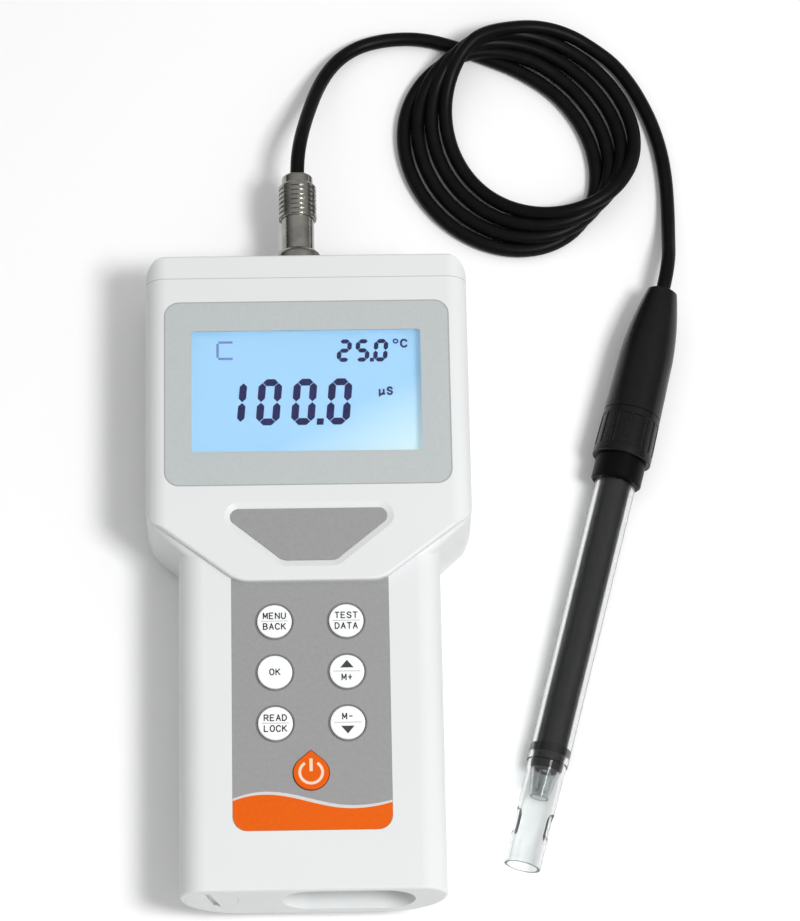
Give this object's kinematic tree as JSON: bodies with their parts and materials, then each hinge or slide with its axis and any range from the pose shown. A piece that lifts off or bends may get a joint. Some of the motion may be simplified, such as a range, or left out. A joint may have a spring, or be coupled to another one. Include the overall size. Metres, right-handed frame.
{
  "type": "water quality probe",
  "caption": "Handheld conductivity meter with a display and keypad, a plug-in lead with one coil, and a clear-tipped cell probe lying beside it.",
  "frame": {"origin": "middle of the meter's flat back, which the object lies on", "axes": "+Y from the battery end to the socket end of the meter, +Z out of its face"},
  "size_m": [0.1586, 0.2842, 0.033],
  "materials": {
    "case_white": "satin",
    "border_grey": "satin",
    "lens_clear": "polished",
    "display_blue": "gloss",
    "label_grey": "satin",
    "key_white": "satin",
    "key_orange": "satin",
    "black_plastic": "satin",
    "black_rubber": "matte",
    "nickel": "satin",
    "steel": "brushed",
    "brass": "polished",
    "board_green": "satin",
    "clear_plastic": "polished",
    "cell_glass": "polished",
    "cell_wrap": "gloss",
    "wire_red": "satin"
  },
  "bodies": {
    "meter": {"battery_bushing": "case_white", "battery_cells": "cell_wrap", "battery_contact": "steel", "battery_tube": "black_plastic", "battery_wires": "wire_red", "board_parts": "black_plastic", "board_ribbon": "board_green", "case_screws": "steel", "display_border": "border_grey", "display_lens": "lens_clear", "dome_switches": "steel", "front_shell": "case_white", "key_guide": "case_white", "keypad_board": "board_green", "keypad_label": "label_grey", "lcd_backlight": "display_blue", "lcd_connectors": "black_rubber", "lcd_frame": "case_white", "lcd_glass": "display_blue", "main_board": "board_green", "name_plate": "label_grey", "rear_shell": "case_white", "shell_seals": "black_rubber", "socket_contacts": "brass", "socket_insulator": "black_plastic", "socket_nut": "nickel", "socket_seal": "black_rubber", "socket_shell": "nickel", "socket_wires": "wire_red", "top_cap": "case_white", "top_cap_seal": "black_rubber"},
    "key_menu_body": {"key_menu": "key_white"},
    "key_cal_body": {"key_cal": "key_white"},
    "key_set_body": {"key_set": "key_white"},
    "key_up_body": {"key_up": "key_white"},
    "key_hold_body": {"key_hold": "key_white"},
    "key_down_body": {"key_down": "key_white"},
    "key_power_body": {"key_power": "key_orange"},
    "battery_cap_carrier": {"battery_cap_seal": "black_rubber", "battery_spring": "steel"},
    "battery_cap_body": {"battery_cap": "case_white"},
    "probe_lead": {"plug_body": "nickel", "plug_insulator": "black_plastic", "plug_pins": "brass", "plug_nut": "nickel", "cable_lead_in": "black_rubber", "cable_coil": "black_rubber", "cable_lead_out": "black_rubber", "probe_cap": "black_rubber", "probe_collar": "black_plastic", "probe_tube": "clear_plastic", "probe_core": "black_plastic", "probe_tip": "clear_plastic", "probe_seal": "black_rubber", "cell_glass": "cell_glass", "cell_plates": "steel", "cell_leads": "steel", "temperature_sensor": "steel"},
    "plug_sleeve_body": {"plug_sleeve": "nickel"}
  },
  "joints": [
    {"name": "key_menu_press", "type": "slide", "parent": "meter", "child": "key_menu_body", "axis": [0, 0, -1], "range_m": [0, 0.0006], "stiffness_N_per_m": 400},
    {"name": "key_cal_press", "type": "slide", "parent": "meter", "child": "key_cal_body", "axis": [0, 0, -1], "range_m": [0, 0.0006], "stiffness_N_per_m": 400},
    {"name": "key_set_press", "type": "slide", "parent": "meter", "child": "key_set_body", "axis": [0, 0, -1], "range_m": [0, 0.0006], "stiffness_N_per_m": 400},
    {"name": "key_up_press", "type": "slide", "parent": "meter", "child": "key_up_body", "axis": [0, 0, -1], "range_m": [0, 0.0006], "stiffness_N_per_m": 400},
    {"name": "key_hold_press", "type": "slide", "parent": "meter", "child": "key_hold_body", "axis": [0, 0, -1], "range_m": [0, 0.0006], "stiffness_N_per_m": 400},
    {"name": "key_down_press", "type": "slide", "parent": "meter", "child": "key_down_body", "axis": [0, 0, -1], "range_m": [0, 0.0006], "stiffness_N_per_m": 400},
    {"name": "key_power_press", "type": "slide", "parent": "meter", "child": "key_power_body", "axis": [0, 0, -1], "range_m": [0, 0.0006], "stiffness_N_per_m": 400},
    {"name": "battery_cap_travel", "type": "slide", "parent": "meter", "child": "battery_cap_carrier", "axis": [0, -1, 0], "range_m": [0, 0.006]},
    {"name": "battery_cap_turn", "type": "hinge", "parent": "battery_cap_carrier", "child": "battery_cap_body", "pos_m": [-0.0284, -0.0965, 0.0218], "axis": [0, -1, 0], "range_deg": [0, 1080]},
    {"name": "plug_pull", "type": "slide", "parent": "meter", "child": "probe_lead", "axis": [0, 1, 0], "range_m": [0, 0.016]},
    {"name": "plug_sleeve_slide", "type": "slide", "parent": "probe_lead", "child": "plug_sleeve_body", "axis": [0, 1, 0], "range_m": [0, 0.0015], "stiffness_N_per_m": 400}
  ],
  "couplings": [
    {"joint": "battery_cap_turn", "follows": "battery_cap_travel", "rad_per_m": 3141.6}
  ]
}
